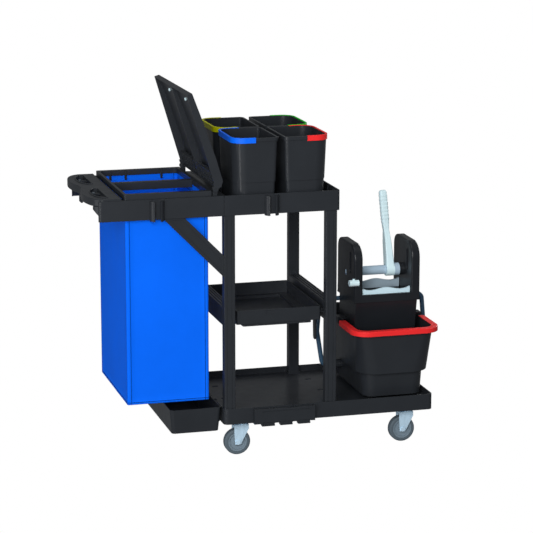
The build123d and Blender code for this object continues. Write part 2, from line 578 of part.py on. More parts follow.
def mop_bucket():
    """Mop bucket with feet, a rolled rim and bosses for the bail."""
    body = mop_volume(0)
    rim_height, rim_reach = 8.0, 10.0
    z = MOP_RIM - rim_height
    roll = Pos(0, 0, z) * extrude(
        RectangleRounded(MOP_WIDTH + 2 * rim_reach, MOP_DEPTH + 2 * rim_reach, MOP_RADIUS + rim_reach),
        rim_height)
    body += roll & block(-MOP_WIDTH, MOP_WIDTH, BAND_END_Y + 0.2, MOP_DEPTH, 0, MOP_RIM)
    for x in (-80.0, 80.0):
        for y in (-150.0, 150.0):
            body += Pos(x, y, BASE_FLOOR + 0.4) * extrude(Circle(14), MOP_BOTTOM - BASE_FLOOR + 2)
    body += bail_bosses()
    body -= mop_volume(MOP_WALL)
    return Pos(MOP_X, MOP_Y, 0) * body


def bail_bosses():
    """Round bosses on the bucket's ends with sockets for the bail."""
    y, z = BAIL_Y - MOP_Y, BAIL_PIVOT_Z
    root, tip = 100.0, BAIL_END_HALF + 13
    bosses = Part()
    for side in (-1, 1):
        boss = rod(17, (side * root, y, z), (side * tip, y, z))
        boss -= rod(TUBE_RADIUS + FIT, (side * (BAIL_END_HALF - 0.5), y, z), (side * (tip + 1), y, z))
        bosses += boss
    return bosses


def mop_bucket_band():
    """Red band clipped over the front half of the mop bucket's rim."""
    z0, z1 = MOP_RIM - BAND_HEIGHT, MOP_RIM + 2
    reach, lap = 2 * BAND_REACH, -10
    outer = RectangleRounded(MOP_WIDTH + reach, MOP_DEPTH + reach, MOP_RADIUS + BAND_REACH)
    rim = RectangleRounded(MOP_WIDTH + 0.1, MOP_DEPTH + 0.1, MOP_RADIUS)
    inner = RectangleRounded(MOP_WIDTH + lap, MOP_DEPTH + lap, MOP_RADIUS + lap / 2)
    band = Pos(0, 0, z0) * extrude(outer, z1 - z0)
    band = fillet(band.edges().group_by(Axis.Z)[-1], 3)
    band -= Pos(0, 0, z0) * extrude(rim, MOP_RIM - z0)
    band -= Pos(0, 0, z0) * extrude(inner, z1 - z0)
    band &= block(-MOP_WIDTH, MOP_WIDTH, -MOP_DEPTH, BAND_END_Y, z0, z1)
    return Pos(MOP_X, MOP_Y, 0) * band


def mop_bail():
    """Bent steel tube: bowed hoop over the mop bucket with its ends turned in."""
    right = [(BAIL_HALF, 0, BAIL_TOP_Z), (BAIL_BOW, 0, BAIL_BOW_Z),
             (BAIL_FOOT_HALF, 0, BAIL_PIVOT_Z), (BAIL_END_HALF, 0, BAIL_PIVOT_Z)]
    corners = [(-x, y, z) for x, y, z in reversed(right)] + right
    path = Wire(FilletPolyline(*corners, radius=22).edges())
    start = Plane(origin=path @ 0, z_dir=path % 0)
    return Pos(MOP_X, BAIL_Y, 0) * sweep(start * Circle(TUBE_RADIUS), path)


# ---------------------------------------------------------------- wringer
def oval_recess(x, y, z):
    """Shallow upright oval cutter that starts at a plane of constant x."""
    plane = Plane(origin=(x, y, z), z_dir=(1, 0, 0), x_dir=(0, 1, 0))
    return extrude(plane * SlotOverall(84, 26, 90), 5)


def wringer_side(x0):
    """Tall side plate with rounded top corners and a long oval recess on both faces."""
    bottom = WRINGER_LIP - 30
    plate = block(x0, x0 + PLATE_THICK, WRINGER_FRONT, WRINGER_BACK, bottom, WRINGER_TOP)
    top = plate.edges().filter_by(Axis.X).group_by(Axis.Z)[-1].sort_by(Axis.Y)
    plate = fillet([top[0]], 62)
    top_back = plate.edges().filter_by(Axis.X).sort_by(Axis.Z)[-1]
    plate = fillet([top_back], 40)
    long_edges = plate.edges().group_by(Axis.Z)[-1].filter_by(Axis.Y)
    plate = fillet(long_edges, 6)
    oval_y, oval_z = WRINGER_FRONT + 52, WRINGER_TOP - 74
    plate -= oval_recess(x0 - 1, oval_y, oval_z)
    plate -= oval_recess(x0 + PLATE_THICK - 4, oval_y, oval_z)
    bore_ends = (x0 - 1, SHAFT_Y, SHAFT_Z), (x0 + PLATE_THICK + 1, SHAFT_Y, SHAFT_Z)
    core = block(x0 + 5, x0 + PLATE_THICK - 5, WRINGER_FRONT + 6, WRINGER_BACK - 6,
                 bottom, SHAFT_Z + 20)
    core -= rod(JOURNAL_RADIUS + 8, *bore_ends)
    return plate - core - rod(JOURNAL_RADIUS + FIT, *bore_ends)


def wringer_box():
    """Box of the wringer below its flange: four walls and a slotted floor, front sloped back."""
    x0, x1 = WRINGER_X - WRINGER_HALF + BOX_INSET, WRINGER_X + WRINGER_HALF - BOX_INSET
    back, top, wall = WRINGER_BACK - 2, WRINGER_LIP - 24, 5.0
    shapes = []
    for shrink in (0.0, wall):
        low, front = WRINGER_BOTTOM + shrink, WRINGER_FRONT + 4 + shrink
        outline = Polyline((front, top), (front + BOX_SLOPE, WRINGER_BOTTOM + 120),
                           (front + BOX_SLOPE, low), (back - shrink, low), (back - shrink, top),
                           (front, top))
        plane = Plane(origin=(x0 + shrink, 0, 0), x_dir=(0, 1, 0), z_dir=(1, 0, 0))
        shapes.append(extrude(plane * make_face(outline), x1 - x0 - 2 * shrink))
    box = shapes[0] - shapes[1]
    middle = (WRINGER_FRONT + BOX_SLOPE + WRINGER_BACK) / 2
    for offset_x in (-75.0, -45.0, -15.0, 15.0, 45.0, 75.0):
        slot = Pos(WRINGER_X + offset_x, middle, WRINGER_BOTTOM - 1) * SlotOverall(130, 10, 90)
        box -= extrude(slot, wall + 2)
    return box


def rim_hook(outer, inner):
    """Hook of the wringer over the mop bucket's rim, from an outer to an inner x."""
    y0, y1, clear, thick = -30.0, 15.0, MOP_RIM + 0.5, 8.0
    hook = block(min(outer, inner), max(outer, inner), y0, y1, clear, clear + thick)
    lip = outer + 3.5 if outer < inner else outer - 3.5
    return hook + block(min(outer, lip), max(outer, lip), y0, y1, clear - 16, clear + thick)


def shaft_boss():
    """Bored boss on the right side plate's inner face, up to the shaft's hub."""
    start, end = LEVER_X + LEVER_HALF + HUB_WIDTH + SIDE_GAP, WRINGER_X + WRINGER_HALF - PLATE_THICK
    boss = rod(HUB_RADIUS, (start, SHAFT_Y, SHAFT_Z), (end + 1, SHAFT_Y, SHAFT_Z))
    return boss - rod(JOURNAL_RADIUS + FIT, (start - 1, SHAFT_Y, SHAFT_Z), (end + 2, SHAFT_Y, SHAFT_Z))


def wringer_basket():
    """Wringer frame: two side plates, a flange between them, the box below, rim hooks."""
    x0, x1 = WRINGER_X - WRINGER_HALF, WRINGER_X + WRINGER_HALF
    body = wringer_side(x0) + wringer_side(x1 - PLATE_THICK) + shaft_boss()
    low, thick = WRINGER_LIP - 30, 9.0
    body += block(x0 + 1, x1 - 1, WRINGER_FRONT, WRINGER_FRONT + thick, low, WRINGER_LIP)
    body += block(x0 + 1, x1 - 1, WRINGER_BACK - thick, WRINGER_BACK, low, WRINGER_LIP)
    for left in (x0, x1 - PLATE_THICK):
        body += block(left, left + PLATE_THICK, WRINGER_FRONT, WRINGER_BACK, low, low + 6)
    body += wringer_box()
    body -= block(x0 + PLATE_THICK, x1 - PLATE_THICK, WRINGER_FRONT + thick, WRINGER_BACK - thick,
                  low - 1, WRINGER_LIP + 1)
    reach = MOP_WIDTH / 2 + 16
    body += rim_hook(MOP_X - reach, x0 + BOX_INSET + 2)
    body += rim_hook(MOP_X + reach, x1 - BOX_INSET - 2)
    return body


def cross_shaft():
    """Shaft between the side plates, stepped down to its journals, with a hub disc."""
    x0, x1 = WRINGER_X - WRINGER_HALF, WRINGER_X + WRINGER_HALF
    inner0 = x0 + PLATE_THICK + 0.5
    body = rod(JOURNAL_RADIUS, (x0 + 1, SHAFT_Y, SHAFT_Z), (x1 - 1, SHAFT_Y, SHAFT_Z))
    lever_side = LEVER_HALF + 0.1
    body += rod(SHAFT_RADIUS, (inner0, SHAFT_Y, SHAFT_Z), (LEVER_X - lever_side, SHAFT_Y, SHAFT_Z))
    hub_start = LEVER_X + lever_side
    body += rod(HUB_RADIUS, (hub_start, SHAFT_Y, SHAFT_Z), (hub_start + HUB_WIDTH, SHAFT_Y, SHAFT_Z))
    return body


def wringer_lever():
    """Tapered hand lever, channel-shaped behind, with a bored boss and a rounded grip."""
    grip_start, shoulder, neck_start = LEVER_LENGTH - 120, LEVER_LENGTH - 200, LEVER_LENGTH - 155
    width = 2 * LEVER_HALF
    foot = RectangleRounded(width, 48, 5)
    waist = Pos(0, 0, shoulder) * RectangleRounded(25, 40, 5)
    neck = Pos(0, 0, neck_start) * RectangleRounded(22, 22, 5)
    hold = Pos(0, 0, grip_start) * RectangleRounded(30, 24, 9)
    arm = loft([foot, waist]) + loft([waist, neck]) + loft([neck, hold])
    arm -= block(-8, 8, 6, 30, 34, shoulder - 10)
    grip = Pos(0, 0, grip_start) * extrude(RectangleRounded(30, 24, 9), LEVER_LENGTH - grip_start)
    arm += fillet(grip.edges().group_by(Axis.Z)[-1], 10)
    arm += rod(25, (-LEVER_HALF, 0, 0), (LEVER_HALF, 0, 0))
    arm -= rod(JOURNAL_RADIUS + FIT, (-width, 0, 0), (width, 0, 0))
    return Pos(LEVER_X, SHAFT_Y, SHAFT_Z) * Rot(-LEVER_LEAN, 0, 0) * arm


def press_plate(y0, z0, z1):
    """Pressing plate with a waved top edge; the plate below the waves is ribbed."""
    x0, x1 = WRINGER_X - WRINGER_HALF + PLATE_THICK + 2, WRINGER_X + WRINGER_HALF - PLATE_THICK - 2
    span = x1 - x0
    waves = [(x0 + span * k / 4, z1 - 4 + 4 * (-1) ** k) for k in range(5)]
    top = Spline(waves)
    rest = Polyline(top @ 1, (x1, z0), (x0, z0), top @ 0)
    plane = Plane(origin=(0, y0 + PRESS_THICK, 0), x_dir=(1, 0, 0), z_dir=(0, -1, 0))
    return extrude(plane * make_face(top + rest), PRESS_THICK)


def drain_slots(y0, z0, z1):
    """Row of upright drain slots through a pressing plate."""
    x0, x1 = WRINGER_X - WRINGER_HALF + PLATE_THICK + 2, WRINGER_X + WRINGER_HALF - PLATE_THICK - 2
    count = 7
    pitch = (x1 - x0) / count
    centres = [x0 + pitch * (index + 0.5) for index in range(count)]
    return [block(x - 4, x + 4, y0 - 1, y0 + PRESS_THICK + 1, z0, z1) for x in centres]


def front_press():
    """Fixed pale plate at the wringer's front."""
    body = press_plate(FRONT_PRESS_Y, FRONT_PRESS_BOTTOM, PRESS_TOP - 6)
    for slot in drain_slots(FRONT_PRESS_Y, FRONT_PRESS_BOTTOM + 6, WRINGER_LIP - 6):
        body -= slot
    return body


def press_carrier():
    """Dark slotted plate that carries the moving press below its pale top strip."""
    x0, x1 = WRINGER_X - WRINGER_HALF + PLATE_THICK + 2, WRINGER_X + WRINGER_HALF - PLATE_THICK - 2
    body = block(x0, x1, BACK_PRESS_Y, BACK_PRESS_Y + PRESS_THICK, PRESS_BOTTOM, BACK_PRESS_BOTTOM)
    for slot in drain_slots(BACK_PRESS_Y, PRESS_BOTTOM + 30, BACK_PRESS_BOTTOM - 20):
        body -= slot
    return body


def wringer_latch():
    """White release latch on the left side plate's front edge."""
    radius, y = 12.0, WRINGER_FRONT - 12.5
    body = rod(radius, (LATCH_X - 8, y, LATCH_Z), (LATCH_X + 30, y, LATCH_Z))
    return body + Pos(LATCH_X + 10, y, LATCH_Z) * extrude(Circle(5), 17)


# ---------------------------------------------------------------- casters
def caster_plate(x, y):
    """Bolt plate with its kingpin."""
    plate = Pos(x, y, BASE_BOTTOM - 4) * extrude(RectangleRounded(88, 84, 8), 4)
    for dx, dy in ((-34, -32), (-34, 32), (34, -32), (34, 32)):
        plate -= Pos(x + dx, y + dy, BASE_BOTTOM - 5) * extrude(Circle(4), 6)
    plate += Pos(x, y, 112) * extrude(Circle(KINGPIN_RADIUS), BASE_BOTTOM - 4 - 112)
    return plate + Pos(x, y, 109) * extrude(Circle(13), 3.2)


def caster_fork(x, y):
    """Swivel fork: round head and two tapered legs, trailing towards the handle end."""
    head_bottom, head_top = 113.0, BASE_BOTTOM - 5
    gap, leg = WHEEL_WIDTH / 2 + 2.0, 3.0
    head = Pos(0, 0, head_top - 4) * extrude(Circle(28), 4)
    head += Pos(-8, 0, head_bottom) * extrude(RectangleRounded(56, 2 * (gap + leg), 4), 5)
    head += Pos(0, 0, head_bottom) * extrude(Circle(20), head_top - head_bottom)
    profile = Polyline((-36, head_bottom + 5), (20, head_bottom + 5), (20, head_bottom - 12),
                       (-TRAIL + 11, WHEEL_RADIUS - 9), (-TRAIL - 11, WHEEL_RADIUS - 9),
                       (-36, head_bottom - 20), (-36, head_bottom + 5))
    fork = head
    for low in (-gap - leg, gap):
        plane = Plane(origin=(0, low + leg, 0), x_dir=(1, 0, 0), z_dir=(0, -1, 0))
        side = extrude(plane * make_face(profile), leg)
        side -= rod(AXLE_RADIUS, (-TRAIL, low - 1, WHEEL_RADIUS), (-TRAIL, low + leg + 1, WHEEL_RADIUS))
        fork += side
    fork -= Pos(0, 0, head_bottom - 1) * extrude(Circle(KINGPIN_RADIUS + FIT), head_top)
    return Pos(x, y, 0) * fork


def caster_axle(x, y):
    """Axle bolt with its head and nut outside the fork."""
    reach = WHEEL_WIDTH / 2 + 5.0
    start, end = (x - TRAIL, y - reach, WHEEL_RADIUS), (x - TRAIL, y + reach, WHEEL_RADIUS)
    body = rod(AXLE_RADIUS, start, end)
    body += rod(9, (start[0], start[1] - 4, start[2]), start)
    return body + rod(9, end, (end[0], end[1] + 4, end[2]))


def wheel_part(x, y, profile):
    """Turn a wheel section, drawn as radius against width, about the wheel's axle."""
    plane = Plane(origin=(0, 0, 0), x_dir=(1, 0, 0), z_dir=(0, 0, 1))
    turned = revolve(plane * profile, Axis.Y)
    return Pos(x - TRAIL, y, WHEEL_RADIUS) * turned


def caster_hub(x, y):
    """Wheel centre with a dished web."""
    bore, rim, half = AXLE_RADIUS + FIT, WHEEL_RADIUS - 13, WHEEL_WIDTH / 2
    section = Pos((bore + rim) / 2, 0) * Rectangle(rim - bore, 2 * half - 4)
    dish = Pos((14 + rim - 6) / 2, half) * Rectangle(rim - 20, 16)
    section = section - dish - mirror(dish, about=Plane.XZ)
    section += Pos((bore + 12) / 2, 0) * Rectangle(12 - bore, 2 * half + 2)
    return wheel_part(x, y, section)


def caster_tyre(x, y):
    """Tyre with rounded shoulders."""
    rim = WHEEL_RADIUS - 13
    section = Pos((rim + WHEEL_RADIUS) / 2, 0) * Rectangle(WHEEL_RADIUS - rim, WHEEL_WIDTH)
    shoulders = section.vertices().sort_by(Axis.X)[-2:]
    return wheel_part(x, y, fillet(shoulders, 7))


def caster_bolts():
    """Hex bolts that hold the four bolt plates."""
    bolts = []
    for x in CASTER_X.values():
        for y in CASTER_Y.values():
            for dx, dy in ((-34, -32), (-34, 32), (34, -32), (34, 32)):
                place = Pos(x + dx, y + dy, 0)
                bolt = place * Pos(0, 0, BASE_BOTTOM - 8.5) * extrude(RegularPolygon(6.5, 6), 4.5)
                bolt += place * Pos(0, 0, BASE_BOTTOM - 4.5) * extrude(Circle(3.9), 4.5)
                bolts.append(bolt)
    return Compound(children=bolts)


# ---------------------------------------------------------------- write every node
def write_frame():
    """Everything that is fixed to the platform."""
    save(base_platform(), "base_platform")
    for x_side, x in POST_X.items():
        save(post(x, -1), f"front_{x_side}_post")
        save(post(x, 1), f"back_{x_side}_post")
    save(drawer_rail(POST_X["left"], 1), "left_drawer_rail")
    save(drawer_rail(POST_X["right"], -1), "right_drawer_rail")
    save(bag_frame(), "bag_frame")
    save(bucket_tray(), "bucket_tray")
    save(push_handle(), "push_handle")
    save(brace(-1), "front_brace")
    save(brace(1), "back_brace")
    save(bag_rim(), "bag_rim")
    save(waste_bag(), "waste_bag")
    save(bag_clips(), "bag_clips")
    save(low_bin(), "low_bin")
    save(tool_holder(), "tool_holder")
    save(beam_clips(), "beam_clips")
    save(rail_hanger(), "rail_hanger")
    save(lid_hinge_pins(), "lid_hinge_pins")
    save(frame_screws(), "frame_screws")


def write_casters():
    """Four casters: bolt plates and bolts are fixed, the rest swivels and turns."""
    plates = [caster_plate(x, y) for x in CASTER_X.values() for y in CASTER_Y.values()]
    save(Compound(children=plates), "caster_plates")
    save(caster_bolts(), "caster_bolts")
    for x_side, x in CASTER_X.items():
        for y_side, y in CASTER_Y.items():
            name = f"{y_side}_{x_side}"
            save(caster_fork(x, y), f"{name}_fork")
            save(caster_axle(x, y), f"{name}_axle")
            save(caster_hub(x, y), f"{name}_hub")
            save(caster_tyre(x, y), f"{name}_tyre")


def write_buckets():
    """Small buckets with their lips, then the mop bucket, its bail and the wringer."""
    for x_side in SMALL_X:
        for y_side in SMALL_Y:
            save(small_bucket(x_side, y_side), f"{y_side}_{x_side}_bucket")
            save(small_bucket_lip(x_side, y_side), f"{y_side}_{x_side}_lip")
    save(mop_bucket(), "mop_bucket")
    save(mop_bucket_band(), "mop_bucket_band")
    save(mop_bail(), "mop_bail")
    save(wringer_basket(), "wringer_basket")
    save(cross_shaft(), "cross_shaft")
    save(wringer_lever(), "wringer_lever")
    save(front_press(), "front_press")
    save(press_plate(BACK_PRESS_Y, BACK_PRESS_BOTTOM, PRESS_TOP), "back_press")
    save(press_carrier(), "press_carrier")
    save(wringer_latch(), "wringer_latch")


write_frame()
write_casters()
write_buckets()
save(lid(), "lid")
save(lid_rivets(), "lid_rivets")
save(drawer(), "drawer")
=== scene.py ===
"""Looks of the housekeeping cart: moulded black plastic, a coated blue bag, coloured bands, a pale lever.

Metres, in the CAD frame: +X from the push handle to the mop bucket, +Y to the back, +Z up.
"""

import json
import math

import bmesh
import bpy
from mathutils import Matrix, Vector, noise


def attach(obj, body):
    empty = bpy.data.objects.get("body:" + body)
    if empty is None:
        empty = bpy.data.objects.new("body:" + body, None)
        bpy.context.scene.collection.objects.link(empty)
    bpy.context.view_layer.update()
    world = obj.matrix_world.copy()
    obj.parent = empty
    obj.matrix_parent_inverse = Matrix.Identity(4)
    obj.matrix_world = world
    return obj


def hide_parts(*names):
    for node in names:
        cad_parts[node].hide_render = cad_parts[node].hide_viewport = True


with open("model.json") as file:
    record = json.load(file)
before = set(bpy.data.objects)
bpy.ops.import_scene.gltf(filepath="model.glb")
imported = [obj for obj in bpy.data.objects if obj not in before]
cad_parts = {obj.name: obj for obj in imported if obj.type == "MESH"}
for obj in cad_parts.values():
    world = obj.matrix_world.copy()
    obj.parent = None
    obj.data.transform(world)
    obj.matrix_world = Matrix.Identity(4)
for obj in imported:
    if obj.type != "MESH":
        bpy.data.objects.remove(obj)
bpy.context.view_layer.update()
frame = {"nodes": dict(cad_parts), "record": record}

# ---------------------------------------------------------------- camera, stage and light
AIM = Vector((0.0284, 0.0, 0.6700))
CAMERA_DISTANCE, CAMERA_PITCH, CAMERA_YAW = 8.4254, 12.447, 15.381
LENS, SENSOR = 149.0, 36.0
WORLD_COLOUR, WORLD_STRENGTH = (0.94, 0.97, 1.0, 1.0), 0.16
STAGE_RADIUS, STAGE_HEIGHT, STAGE_STEPS = 26.0, 20.0, 48
LIGHT_TARGET = (0.0, 0.0, 0.6)
# name, place, (width, height), power in watts
LIGHTS = [
    ("key_softbox", (-2.2, -5.4, 2.6), (3.0, 3.0), 274),
    ("left_softbox", (-6.0, -1.0, 0.6), (3.0, 3.4), 54),
    ("top_softbox", (0.0, -0.6, 5.0), (3.0, 3.0), 40),
    ("back_softbox", (5.2, 4.2, 2.6), (4.0, 3.0), 210),
    ("edge_strip", (-4.6, -4.6, 0.6), (0.60, 3.4), 60),
]


def link_object(name, data):
    """A new object for the data, linked into the scene."""
    made = bpy.data.objects.new(name, data)
    bpy.context.collection.objects.link(made)
    return made


def add_camera():
    """Camera at the solved angle: left of the front, a little above."""
    data = bpy.data.cameras.new("camera")
    data.lens, data.sensor_width = LENS, SENSOR
    camera = link_object("camera", data)
    pitch, yaw = math.radians(CAMERA_PITCH), math.radians(CAMERA_YAW)
    forward = Vector((math.sin(yaw) * math.cos(pitch), math.cos(yaw) * math.cos(pitch), -math.sin(pitch)))
    camera.location = AIM - forward * CAMERA_DISTANCE
    camera.rotation_euler = (math.pi / 2 - pitch, 0, -yaw)
    bpy.context.scene.camera = camera


def add_light(name, place, size, power):
    """Rectangular area light that looks at the middle of the cart; size is (width, height)."""
    data = bpy.data.lights.new(name, "AREA")
    data.shape = "RECTANGLE"
    data.size, data.size_y = size
    data.energy = power
    light = link_object(name, data)
    light.location = place
    light.rotation_euler = (Vector(LIGHT_TARGET) - Vector(place)).to_track_quat("-Z", "Y").to_euler()


def add_world():
    """Dim, slightly cool surrounding light."""
    world = bpy.data.worlds.new("studio")
    bpy.context.scene.world = world
    world.use_nodes = True
    back = world.node_tree.nodes["Background"]
    back.inputs["Color"].default_value = WORLD_COLOUR
    back.inputs["Strength"].default_value = WORLD_STRENGTH


def add_stage():
    """Evenly white floor disc and round wall that light nothing themselves."""
    turns = [2 * math.pi * k / STAGE_STEPS for k in range(STAGE_STEPS)]
    ring = [(STAGE_RADIUS * math.cos(turn), STAGE_RADIUS * math.sin(turn)) for turn in turns]
    verts = [(x, y, 0.0) for x, y in ring] + [(x, y, STAGE_HEIGHT) for x, y in ring]
    faces = [tuple(range(STAGE_STEPS))]
    for k in range(STAGE_STEPS):
        after = (k + 1) % STAGE_STEPS
        faces.append((k, after, STAGE_STEPS + after, STAGE_STEPS + k))
    mesh = bpy.data.meshes.new("floor")
    mesh.from_pydata(verts, [], faces)
    floor = link_object("floor", mesh)
    material, _, shader = new_material("floor_white")
    shader.inputs["Base Color"].default_value = (0.0, 0.0, 0.0, 1)
    shader.inputs["Specular IOR Level"].default_value = 0.0
    shader.inputs["Emission Color"].default_value = (1.0, 1.0, 1.0, 1)
    shader.inputs["Emission Strength"].default_value = 1.0
    mesh.materials.append(material)
    floor.visible_diffuse = floor.visible_glossy = floor.visible_shadow = False


# ---------------------------------------------------------------- materials
CLOUD_SCALE, CLOUD_DETAIL = 7.0, 4.0
PATCH_SCALE, PATCH_DETAIL = 23.0, 5.0
GRAIN_SCALE, GRAIN_DETAIL, GRAIN_ROUGH = 900.0, 2.0, 0.6
GRAIN_STRENGTH, GRAIN_HEIGHT = 0.3, 0.00010
COAT_ROUGHNESS = 0.22
ROUGH_BELOW, ROUGH_ABOVE = 0.08, 0.10
STREAK_SCALE, STREAK_DETAIL, STREAK_ROUGH = 160.0, 4.0, 0.6
STREAK_STRETCH, STREAK_DARK = (1.0, 1.0, 0.15), 0.86
METAL_ROUGHNESS, METAL_EDGE = (0.29, 0.43), 0.001
WEAVE_SCALE, WEAVE_STRENGTH, WEAVE_HEIGHT = 420.0, 0.25, 0.00015
CLOTH_CLOUD_SCALE, CLOTH_DARK = 6.0, 0.93
CLOTH_ROUGHNESS, CLOTH_SPECULAR = (0.50, 0.62), 0.03
RAMP_LOW, RAMP_HIGH = 0.3, 0.7
BEVEL_SAMPLES = 4


def new_material(name):
    """A node material with a bare Principled shader."""
    material = bpy.data.materials.new(name)
    material.use_nodes = True
    tree = material.node_tree
    return material, tree, tree.nodes["Principled BSDF"]


def noise_node(tree, scale, detail, rough=0.55, stretch=None):
    """Noise in object coordinates, optionally stretched along the axes."""
    coords = tree.nodes.new("ShaderNodeTexCoord")
    node = tree.nodes.new("ShaderNodeTexNoise")
    node.inputs["Scale"].default_value = scale
    node.inputs["Detail"].default_value = detail
    node.inputs["Roughness"].default_value = rough
    source = coords.outputs["Object"]
    if stretch:
        mapping = tree.nodes.new("ShaderNodeMapping")
        mapping.inputs["Scale"].default_value = stretch
        tree.links.new(source, mapping.inputs["Vector"])
        source = mapping.outputs["Vector"]
    tree.links.new(source, node.inputs["Vector"])
    return node


def colour_range(tree, shader, source, dark, light):
    """Base colour that goes from dark to light with a 0 to 1 value."""
    ramp = tree.nodes.new("ShaderNodeValToRGB")
    stops = ((RAMP_LOW, dark), (RAMP_HIGH, light))
    for element, (place, colour) in zip(ramp.color_ramp.elements, stops):
        element.position = place
        element.color = (*colour, 1.0)
    tree.links.new(source, ramp.inputs["Fac"])
    tree.links.new(ramp.outputs["Color"], shader.inputs["Base Color"])


def roughness_range(tree, shader, source, low, high):
    """Roughness that goes from low to high with a 0 to 1 value."""
    node = tree.nodes.new("ShaderNodeMapRange")
    node.inputs["To Min"].default_value = low
    node.inputs["To Max"].default_value = high
    tree.links.new(source, node.inputs["Value"])
    tree.links.new(node.outputs["Result"], shader.inputs["Roughness"])


def bump_node(tree, shader, height, strength, distance):
    """Bump that drives the shader's normal; returned so that its own normal can be set."""
    bump = tree.nodes.new("ShaderNodeBump")
    bump.inputs["Strength"].default_value = strength
    bump.inputs["Distance"].default_value = distance
    tree.links.new(height, bump.inputs["Height"])
    tree.links.new(bump.outputs["Normal"], shader.inputs["Normal"])
    return bump


def rounded_edges(tree, radius):
    """Shading normal that rounds hard edges over a small radius."""
    bevel = tree.nodes.new("ShaderNodeBevel")
    bevel.samples = BEVEL_SAMPLES
    bevel.inputs["Radius"].default_value = radius
    return bevel.outputs["Normal"]


def moulded(name, colour, rough=0.42, spread=0.08, specular=0.16, edge=0.0015, coat=0.0):
    """Injection-moulded plastic: fine spark-eroded grain, faint flow clouds, uneven gloss, soft edges."""
    material, tree, shader = new_material(name)
    clouds = noise_node(tree, CLOUD_SCALE, CLOUD_DETAIL)
    dark = tuple(c * (1 - spread) for c in colour)
    light = tuple(min(1.0, c * (1 + spread)) for c in colour)
    colour_range(tree, shader, clouds.outputs["Fac"], dark, light)
    patches = noise_node(tree, PATCH_SCALE, PATCH_DETAIL)
    roughness_range(tree, shader, patches.outputs["Fac"], rough - ROUGH_BELOW, rough + ROUGH_ABOVE)
    fine = noise_node(tree, GRAIN_SCALE, GRAIN_DETAIL, GRAIN_ROUGH)
    bump = bump_node(tree, shader, fine.outputs["Fac"], GRAIN_STRENGTH, GRAIN_HEIGHT)
    if edge:
        tree.links.new(rounded_edges(tree, edge), bump.inputs["Normal"])
    shader.inputs["Specular IOR Level"].default_value = specular
    shader.inputs["Coat Weight"].default_value = coat
    shader.inputs["Coat Roughness"].default_value = COAT_ROUGHNESS
    return material


def metal(name, colour, shine):
    """Plated steel with faint drawn streaks."""
    material, tree, shader = new_material(name)
    streaks = noise_node(tree, STREAK_SCALE, STREAK_DETAIL, STREAK_ROUGH, STREAK_STRETCH)
    dark = tuple(c * STREAK_DARK for c in colour)
    colour_range(tree, shader, streaks.outputs["Fac"], dark, colour)
    roughness_range(tree, shader, streaks.outputs["Fac"], *METAL_ROUGHNESS)
    tree.links.new(rounded_edges(tree, METAL_EDGE), shader.inputs["Normal"])
    shader.inputs["Metallic"].default_value = shine
    return material


def weave(tree):
    """Height of threads that cross on every side: the larger of three sets of bands."""
    coords = tree.nodes.new("ShaderNodeTexCoord")
    total = None
    for direction in ("X", "Y", "Z"):
        wave = tree.nodes.new("ShaderNodeTexWave")
        wave.wave_type = "BANDS"
        wave.bands_direction = direction
        wave.inputs["Scale"].default_value = WEAVE_SCALE
        tree.links.new(coords.outputs["Object"], wave.inputs["Vector"])
        if total is None:
            total = wave.outputs["Fac"]
            continue
        both = tree.nodes.new("ShaderNodeMath")
        both.operation = "MAXIMUM"
        tree.links.new(total, both.inputs[0])
        tree.links.new(wave.outputs["Fac"], both.inputs[1])
        total = both.outputs[0]
    return total


def cloth(name, colour):
    """Coated woven nylon: crossing threads under a thin smooth film."""
    material, tree, shader = new_material(name)
    clouds = noise_node(tree, CLOTH_CLOUD_SCALE, CLOUD_DETAIL)
    dark = tuple(c * CLOTH_DARK for c in colour)
    colour_range(tree, shader, clouds.outputs["Fac"], dark, colour)
    roughness_range(tree, shader, clouds.outputs["Fac"], *CLOTH_ROUGHNESS)
    bump_node(tree, shader, weave(tree), WEAVE_STRENGTH, WEAVE_HEIGHT)
    shader.inputs["Specular IOR Level"].default_value = CLOTH_SPECULAR
    return material


def black_moulded(name, colour):
    """The dark plastic of the frame, with a thin gloss that shows on rounded corners."""
    return moulded(name, colour, rough=0.40, specular=0.12, edge=0.0022, coat=0.35)


WHITE = (0.74, 0.94, 1.0)
MATERIALS = {
    "black_plastic": black_moulded("black_plastic", (0.0226, 0.0258, 0.0308)),
    "bag_cloth": cloth("bag_cloth", (0.003, 0.150, 1.0)),
    "zinc_steel": metal("zinc_steel", (0.62, 0.83, 1.0), shine=0.12),
    "white_plastic": moulded("white_plastic", WHITE, rough=0.35, spread=0.03),
    "pale_plastic": moulded("pale_plastic", (0.66, 0.86, 0.95), rough=0.35, spread=0.04),
    "shaft_grey": moulded("shaft_grey", (0.44, 0.58, 0.70), rough=0.38),
    "bail_paint": moulded("bail_paint", (0.040, 0.092, 0.155), rough=0.30, specular=0.45),
    "red_plastic": moulded("red_plastic", (0.90, 0.028, 0.030), spread=0.04),
    "blue_plastic": moulded("blue_plastic", (0.003, 0.150, 0.98), spread=0.04),
    "yellow_plastic": moulded("yellow_plastic", (0.56, 0.58, 0.0), spread=0.04),
    "green_plastic": moulded("green_plastic", (0.003, 0.52, 0.006), spread=0.04),
    "hub_grey": moulded("hub_grey", (0.20, 0.26, 0.31), spread=0.05),
    "tyre_grey": moulded("tyre_grey", (0.100, 0.130, 0.155), rough=0.6, spread=0.06),
}
# nodes whose tone differs from the rest of their slot
SPECIAL = {
    "back_press": moulded("press_grey", (0.34, 0.43, 0.50), rough=0.4),
    "frame_screws": metal("screw_steel", (0.15, 0.18, 0.21), shine=0.5),
    "wringer_basket": black_moulded("wringer_black", (0.0135, 0.0155, 0.0190)),
}
GRIP_WHITE = moulded("grip_white", WHITE, rough=0.40, spread=0.03, edge=0.0)
SEAM_BLUE = cloth("seam_blue", (0.001, 0.028, 0.20))


